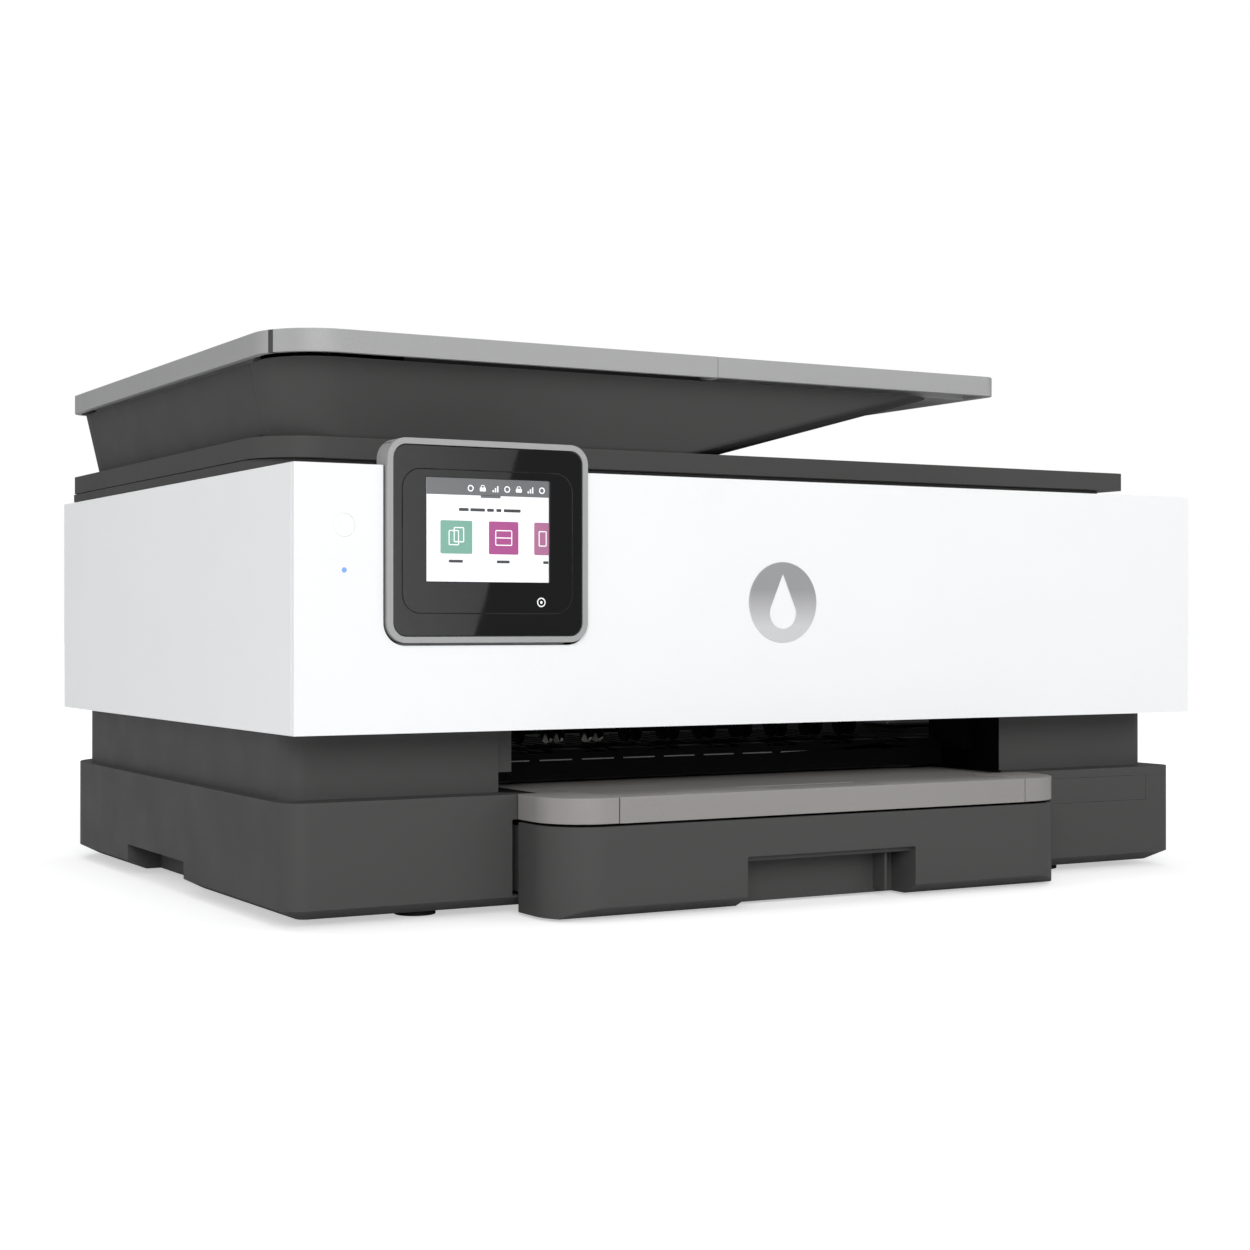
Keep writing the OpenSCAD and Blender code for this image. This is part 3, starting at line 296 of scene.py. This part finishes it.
def crisp_group():
    """Smooth shading with sharp edges kept wherever two faces meet at more than 32 degrees."""
    tree = bpy.data.node_groups.new("crisp", "GeometryNodeTree")
    tree.is_modifier = True
    tree.interface.new_socket("Geometry", in_out="INPUT", socket_type="NodeSocketGeometry")
    tree.interface.new_socket("Geometry", in_out="OUTPUT", socket_type="NodeSocketGeometry")
    start, end = tree.nodes.new("NodeGroupInput"), tree.nodes.new("NodeGroupOutput")
    angle = tree.nodes.new("GeometryNodeInputMeshEdgeAngle")
    soft = tree.nodes.new("FunctionNodeCompare")
    soft.operation = "LESS_THAN"
    soft.inputs["B"].default_value = math.radians(32)
    faces, edges = (tree.nodes.new("GeometryNodeSetShadeSmooth") for _ in range(2))
    faces.domain, edges.domain = "FACE", "EDGE"
    tree.links.new(start.outputs[0], faces.inputs["Geometry"])
    tree.links.new(faces.outputs[0], edges.inputs["Geometry"])
    tree.links.new(angle.outputs["Unsigned Angle"], soft.inputs["A"])
    tree.links.new(soft.outputs[0], edges.inputs["Shade Smooth"])
    tree.links.new(edges.outputs[0], end.inputs[0])
    return tree


CRISP = crisp_group()


def refine(piece, edge):
    """Cleans a CAD mesh's triangles and rounds its edges, all as modifiers."""
    weld = piece.modifiers.new("weld", "WELD")
    weld.merge_threshold = 0.002 * MM
    planes = piece.modifiers.new("planes", "DECIMATE")
    planes.decimate_type = "DISSOLVE"
    planes.angle_limit = math.radians(0.6)
    planes.delimit = {"MATERIAL"}
    if edge:
        rounded = piece.modifiers.new("rounded", "BEVEL")
        rounded.width = edge
        rounded.segments = 2
        rounded.limit_method = "ANGLE"
        rounded.angle_limit = math.radians(38)
        rounded.use_clamp_overlap = True
        rounded.miter_outer = "MITER_ARC"
    crisp = piece.modifiers.new("crisp", "NODES")
    crisp.node_group = CRISP
    normals = piece.modifiers.new("normals", "WEIGHTED_NORMAL")
    normals.keep_sharp = True


def paint(piece, material, where=None):
    """Gives a piece a material, or only the faces whose middle passes a test in millimetres."""
    mesh = piece.data
    if where is None:
        mesh.materials.clear()
        mesh.materials.append(material)
        for face in mesh.polygons:
            face.material_index = 0
        return
    mesh.materials.append(material)
    index = len(mesh.materials) - 1
    for face in mesh.polygons:
        if where(face.center / MM):
            face.material_index = index


# Rounding of the edges in millimetres
COMMON_EDGE = 0.3
EDGE = {"body_shell": 0.35, "front_door": 0.35, "base_housing": 0.5, "scanner_lid": 0.5, "feeder_cover": 0.6,
        "feeder_tray": 0.6, "output_tray": 0.5, "tray_extender": 0.5, "paper_drawer": 0.6, "panel_case": 0.6}

for node, piece in frame["nodes"].items():
    paint(piece, finishes[slot_of[node]])
    refine(piece, EDGE.get(node, COMMON_EDGE) * MM)


# Places in millimetres, measured from the boxes of these nodes
COVER, PANEL, LID = box_mm("feeder_cover"), box_mm("panel_case"), box_mm("scanner_lid")
NECK, BASE = box_mm("middle_frame"), box_mm("base_housing")
RIM_H = 9.1
CURTAIN_BACK = 15.75
NOTCH_SIDE, NOTCH_BELOW, NOTCH_R = 0.8, 1.1, 9
PAD_MIDDLE, PAD_REACH = 12.5, 160
SLOT_HALF = 133.6
FEED_GEAR_X = (-205.2, -198.8)
# Painted highlight: star wheels in this X range are made ivory as the lit ones.
LIT_WHEELS_X = (-82, -50)
# Painted highlight reaches the exit guide's ledge fronts left of this X.
LIT_LEDGES_X = 40


def near_axis(body, radius):
    """A test for points within a radius of the axis that a body turns about."""
    joint = joint_of[body]
    middle, along = Vector(joint["pos_m"]) / MM, Vector(joint["axis"])
    return lambda p: (p - middle).cross(along).length < radius


def under_rim(p):
    """The feeder cover's dark side panel, and the curtain hanging inside its grey rim, which is painted dark
    as shade in the gap under the rim.
    """
    # Painted shade: the curtain is made dark so that the gap under the rim reads as shadow.
    curtain = abs(p.y - COVER[0].y - CURTAIN_BACK) < 1.2 and p.z < COVER[1].z - 2.6
    return p.z < COVER[1].z - RIM_H or curtain


def notch_edge(p):
    """Whether a door face lies on the wall of the notch that holds the control panel; these faces are painted
    black as the shadow in the gap around the panel.
    """
    low, high = PANEL
    across = abs(p.x - (low.x + high.x) / 2) - (high.x - low.x) / 2 - NOTCH_SIDE + NOTCH_R
    down = low.z - NOTCH_BELOW + NOTCH_R - p.z
    gap = math.hypot(max(across, 0), max(down, 0)) + min(max(across, down), 0) - NOTCH_R
    return abs(gap) < 0.25


def lid_pad(p):
    """The white backing pad set into the lid's lower face."""
    return 0.2 < p.z - LID[0].z < 0.5 and abs(p.x - PAD_MIDDLE) < PAD_REACH


def in_slot(p):
    """Casing faces inside the paper slot, painted black as shade, since the slot is dark all round."""
    return abs(p.x) < SLOT_HALF and p.y > NECK[0].y + 4 and p.z > BASE[1].z - 1


def paint_details():
    """Finishes that differ from a node's own slot, painted on whole nodes or on some of their faces, among
    them painted shade in the paper slot, around the panel notch and on the feeder's curtain, and painted
    highlights on lit ledges and star wheels.
    """
    pieces = frame["nodes"]
    steel, ivory, black = finishes["steel"], finishes["gear_plastic"], EXTRA["slot_painted_shade"]
    ledge_front = box_mm("exit_guide")[0].y + 0.3
    wheel_low = box_mm("star_wheel_bar")[0].z
    # The dark side panel is the cover's own second colour; the curtain's dark is painted shade.
    paint(pieces["feeder_cover"], finishes["dark_plastic"], under_rim)
    paint(pieces["scanner_lid"], EXTRA["lid_pad"], lid_pad)
    paint(pieces["door_emblem"], EXTRA["emblem"])
    # Painted shadow: the notch walls round the control panel are made near black.
    paint(pieces["front_door"], black, notch_edge)
    paint(pieces["feed_shaft"], steel, near_axis("feed", 3.3))
    paint(pieces["feed_shaft"], ivory, lambda p: FEED_GEAR_X[0] < p.x < FEED_GEAR_X[1])
    paint(pieces["pick_roller"], steel, near_axis("picker", 2.8))
    paint(pieces["feeder_pick_roller"], steel, near_axis("feeder_pick", 3.3))
    paint(pieces["feeder_feed_roller"], steel, near_axis("feeder_feed", 3.3))
    # Painted shade: the parts behind the paper slot are made near black, as shadow hides them there.
    for node in ("exit_guide", "star_wheel_bar", "platen", "output_shaft"):
        paint(pieces[node], black)
    # Painted shade on the casing's faces inside the slot.
    for node in ("middle_frame", "base_housing"):
        paint(pieces[node], black, in_slot)
    # Painted highlight: the front faces of the exit guide's ledges left of LIT_LEDGES_X are made grey where
    # light catches them.
    paint(pieces["exit_guide"], EXTRA["slot_painted_highlight"], lambda p: p.y < ledge_front and p.x < LIT_LEDGES_X)
    # Painted highlight and shade: only the star wheels in LIT_WHEELS_X, where light reaches them, get the
    # pale ivory; the rest stay painted black as shade.
    paint(pieces["star_wheel_bar"], ivory,
          lambda p: 0.2 < p.z - wheel_low < 2.2 and LIT_WHEELS_X[0] < p.x < LIT_WHEELS_X[1])


paint_details()


# ---- Screen graphics and small printed marks ----


def rounded(x, z, radius, steps=6):
    """A rounded rectangle's outline between two X and two Z values in millimetres."""
    points = []
    corners = ((x[1], z[0], -90), (x[1], z[1], 0), (x[0], z[1], 90), (x[0], z[0], 180))
    for cx, cz, turn in corners:
        middle = (cx - math.copysign(radius, cx - sum(x) / 2), cz - math.copysign(radius, cz - sum(z) / 2))
        for i in range(steps + 1):
            angle = math.radians(turn + 90 * i / steps)
            points.append((middle[0] + radius * math.cos(angle), middle[1] + radius * math.sin(angle)))
    return points


def disc(x, z, radius):
    """A circle's outline around a point in millimetres."""
    turns = [2 * math.pi * i / 28 for i in range(28)]
    return [(x + radius * math.cos(turn), z + radius * math.sin(turn)) for turn in turns]


def mark_faces(start, count, has_hole):
    """Faces of one raised mark, whose rings were added front then back, the outline before any hole."""
    faces = []
    for i in range(count):
        a, b = start + i, start + (i + 1) % count
        faces.append((a, a + count, b + count, b))
        if has_hole:
            c, d = a + 2 * count, b + 2 * count
            faces += [(c, d, d + count, c + count), (a, b, d, c)]
            faces.append((a + count, c + count, d + count, b + count))
    if not has_hole:
        faces.append(tuple(range(start, start + count)))
        faces.append(tuple(range(start + 2 * count - 1, start + count - 1, -1)))
    return faces


def printed(name, body, marks):
    """Thin raised marks on a front face. Each is (outline, hole or None, front y, back y, finish)."""
    verts, faces, used, picks = [], [], [], []
    for outline, hole, front, back, finish in marks:
        if finish not in used:
            used.append(finish)
        made = mark_faces(len(verts), len(outline), hole is not None)
        for ring in [outline] + ([hole] if hole else []):
            for y in (front, back):
                verts += [(x * MM, y * MM, z * MM) for x, z in ring]
        faces += made
        picks += [used.index(finish)] * len(made)
    mesh = bpy.data.meshes.new(name)
    mesh.from_pydata(verts, [], faces)
    for finish in used:
        mesh.materials.append(EXTRA[finish])
    for face, pick in zip(mesh.polygons, picks):
        face.material_index = pick
    piece = bpy.data.objects.new(name, mesh)
    bpy.context.scene.collection.objects.link(piece)
    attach(piece, body)


SIGN_X = (19.0, 24.3, 29.9, 35.1, 40.3, 45.5, 50.7)
SIGN_Z = 37.1
CLOCK_BARS = ((13.9, 4.2), (18.9, 6.4), (26.2, 3.0), (30.3, 2.2), (33.6, 7.5))
CLOCK_Z = (28.0, 29.2)
TILE_Z = (11.1, 24.2)
LABEL_Z = (7.6, 8.7)
BORDER = 0.05
LAYER = 0.04


def on_screen():
    """A generic menu: a status bar with signs, a row of function tiles and short label bars.

    Places are in millimetres from the screen's lower left corner, and level is the layer above its face.
    """
    low, high = box_mm("display")
    left, bottom, wide, tall = low.x, low.z - BORDER, high.x - low.x, high.z - low.z + BORDER
    back = low.y + 0.1

    def placed(x, z, radius):
        return rounded([left + v for v in x], [bottom + v for v in z], radius)

    def front(level):
        return low.y - 0.03 - LAYER * level

    def bar(x, z, finish, level, radius=0.25):
        return placed(x, z, radius), None, front(level), back, finish

    def ring(x, z, radius, width, level):
        inside = placed((x[0] + width, x[1] - width), (z[0] + width, z[1] - width), max(radius - width, 0.05))
        return placed(x, z, radius), inside, front(level), back, "screen_white"

    def sign(kind, x, z):
        if kind == 0:
            return [ring((x - 1.3, x + 1.3), (z - 1.3, z + 1.3), 1.25, 0.45, 1)]
        if kind == 1:
            return [bar((x - 1.3, x + 1.3), (z - 1.1, z + 0.4), "screen_white", 1),
                    ring((x - 0.9, x + 0.9), (z - 0.2, z + 1.4), 0.7, 0.3, 1)]
        return [bar((x - 1.3 + step, x - 0.7 + step), (z - 1.3, z - 1.3 + height), "screen_white", 1, 0.1)
                for step, height in enumerate((0.9, 1.7, 2.5))]

    marks = [bar((BORDER, wide - BORDER), (34.3, tall - BORDER), "screen_bar", 0, 0.1),
             bar((23.4, 32.2), (33.4, 34.5), "screen_bar", 0, 0.4)]
    for i, x in enumerate(SIGN_X):
        marks += sign(i % 3, x, SIGN_Z)
    for x, width in CLOCK_BARS:
        marks.append(bar((x, x + width), CLOCK_Z, "screen_ink", 1, 0.35))
    tiles = {"screen_teal": (5.9, 19.7), "screen_magenta": (27.0, 40.1), "screen_pale": (47.2, wide - BORDER)}
    for finish, x in tiles.items():
        marks.append(bar(x, TILE_Z, finish, 1, 0.6))
    marks += [ring((9.4, 13.9), (14.4, 20.4), 0.5, 0.4, 2),
              ring((11.6, 16.1), (15.6, 21.6), 0.5, 0.4, 3),
              ring((29.8, 37.3), (14.6, 20.8), 0.6, 0.4, 2),
              bar((30.2, 36.9), (17.5, 17.9), "screen_white", 3, 0.1),
              ring((49.2, 52.8), (14.6, 20.8), 0.5, 0.4, 2)]
    for x in ((9.5, 15.6), (30.5, 36.2), (51.3, wide - 0.3)):
        marks.append(bar(x, LABEL_Z, "screen_ink", 1, 0.35))
    return marks


def on_glass():
    """The touch area's thin printed frame and a plain ring mark under the screen."""
    low, high = box_mm("touch_glass")
    front, back = low.y - 0.03, low.y + 0.1
    frame_x, frame_z, line, corner = (low.x + 3.45, high.x - 4.25), (low.z + 8.7, high.z - 9), 0.5, 8
    inner_x, inner_z = (frame_x[0] + line, frame_x[1] - line), (frame_z[0] + line, frame_z[1] - line)
    mark = (high.x - 18.65, low.z + 13.5)
    return [(rounded(frame_x, frame_z, corner, 12), rounded(inner_x, inner_z, corner - line, 12),
             front, back, "glass_print"),
            (disc(*mark, 1.9), disc(*mark, 1.45), front, back, "screen_white"),
            (disc(*mark, 0.55), None, front, back, "screen_white")]


def on_button():
    """The lit dot in the middle of the power button."""
    low, high = box_mm("power_button")
    middle = ((low.x + high.x) / 2, (low.z + high.z) / 2)
    return [(disc(*middle, 0.8), None, low.y - 0.04, low.y + 0.2, "button_dot")]


printed("screen_graphics", "panel", on_screen())
printed("glass_marks", "panel", on_glass())
printed("button_mark", "button", on_button())


# ---- Camera, floor and light ----


def area_light(name, place, target, size, power):
    """A soft white light aimed at a point, which the camera doesn't see."""
    data = bpy.data.lights.new(name, "AREA")
    data.shape = "RECTANGLE"
    data.size, data.size_y = size
    data.energy = power
    made = bpy.data.objects.new(name, data)
    made.location = place
    made.rotation_euler = (Vector(target) - Vector(place)).to_track_quat("-Z", "Y").to_euler()
    made.visible_camera = False
    bpy.context.scene.collection.objects.link(made)


def flat_sheet(name, corners):
    """One flat face, linked to the scene."""
    mesh = bpy.data.meshes.new(name)
    mesh.from_pydata(corners, [], [(0, 1, 2, 3)])
    made = bpy.data.objects.new(name, mesh)
    bpy.context.scene.collection.objects.link(made)
    return made


def camera():
    """A level camera in front of the printer's left corner, at the height of its door."""
    lens, place, turn_deg = 60.63, (-0.5153, -0.9129, 0.1178), -29.62
    data = bpy.data.cameras.new("camera")
    data.lens = lens
    data.sensor_width = 36
    made = bpy.data.objects.new("camera", data)
    made.location = place
    made.rotation_euler = (math.pi / 2, 0, math.radians(turn_deg))
    bpy.context.scene.collection.objects.link(made)
    bpy.context.scene.camera = made


def floor():
    """A pale floor that glows towards the camera only, more so further out, so that it fades to white."""
    far = 12
    made = flat_sheet("floor", [(-far, -far, 0), (far, -far, 0), (far, far, 0), (-far, far, 0)])
    s = Shader("pale_floor")
    clouds = s.remap(s.noise(0.4, 3), 0, 1)
    s.link(s.mix(clouds, (0.9, 0.9, 0.9), (0.93, 0.93, 0.93)), s.bsdf.inputs["Base Color"])
    s.bsdf.inputs["Roughness"].default_value = 0.9
    s.bsdf.inputs["Emission Color"].default_value = (1, 1, 1, 1)
    distance = s.node("ShaderNodeVectorMath", operation="LENGTH")
    s.link(s.place, distance.inputs[0])
    seen = s.node("ShaderNodeMath", operation="MULTIPLY")
    s.link(s.remap(distance.outputs["Value"], 0.5, 1.0, 0.3, 2.4), seen.inputs[0])
    s.link(s.node("ShaderNodeLightPath").outputs["Is Camera Ray"], seen.inputs[1])
    s.link(seen.outputs[0], s.bsdf.inputs["Emission Strength"])
    made.data.materials.append(s.material)


def world():
    """An even white studio, brighter where the camera sees it directly than where it lights the printer."""
    made = bpy.data.worlds.new("studio")
    bpy.context.scene.world = made
    made.use_nodes = True
    tree = made.node_tree
    tree.nodes.clear()
    seen, lighting = tree.nodes.new("ShaderNodeBackground"), tree.nodes.new("ShaderNodeBackground")
    seen.inputs["Color"].default_value = (1, 1, 1, 1)
    seen.inputs["Strength"].default_value = 1.0
    lighting.inputs["Color"].default_value = (0.98, 0.99, 1, 1)
    lighting.inputs["Strength"].default_value = 0.3
    path, blend = tree.nodes.new("ShaderNodeLightPath"), tree.nodes.new("ShaderNodeMixShader")
    out = tree.nodes.new("ShaderNodeOutputWorld")
    tree.links.new(path.outputs["Is Camera Ray"], blend.inputs[0])
    tree.links.new(lighting.outputs[0], blend.inputs[1])
    tree.links.new(seen.outputs[0], blend.inputs[2])
    tree.links.new(blend.outputs[0], out.inputs["Surface"])


def card():
    """A bright card that shows only in glossy reflections, with a slanted edge across the touch glass."""
    y, low, high, left = -2.16, -0.05, 0.6, -0.4
    right_low, right_high = 0.766, 0.925
    made = flat_sheet("card", [(left, y, low), (right_low, y, low), (right_high, y, high), (left, y, high)])
    s = Shader("card")
    split = s.node("ShaderNodeSeparateXYZ")
    s.link(s.place, split.inputs[0])
    s.link(s.remap(split.outputs["X"], 1.7, 0.6, 0.5, 0.9), s.bsdf.inputs["Emission Strength"])
    s.link(s.mix(s.remap(s.noise(0.5), 0, 1), (1, 1, 1), (0.95, 0.95, 0.95)), s.bsdf.inputs["Emission Color"])
    made.data.materials.append(s.material)
    made.visible_camera = made.visible_diffuse = made.visible_shadow = False


camera()
floor()
card()
world()
MIDDLE = (0, 0, 0.12)
area_light("key", (-1.3, -2.7, 1.3), MIDDLE, (2.0, 1.4), 50)
area_light("fill", (2.2, -2.4, 1.2), MIDDLE, (1.6, 1.6), 12)
area_light("top", (0, 0.4, 2.6), MIDDLE, (2.4, 2.0), 14)
area_light("side", (-2.6, 0.1, 0.5), MIDDLE, (1.4, 1.0), 7)
bpy.context.scene.view_settings.view_transform = "Standard"
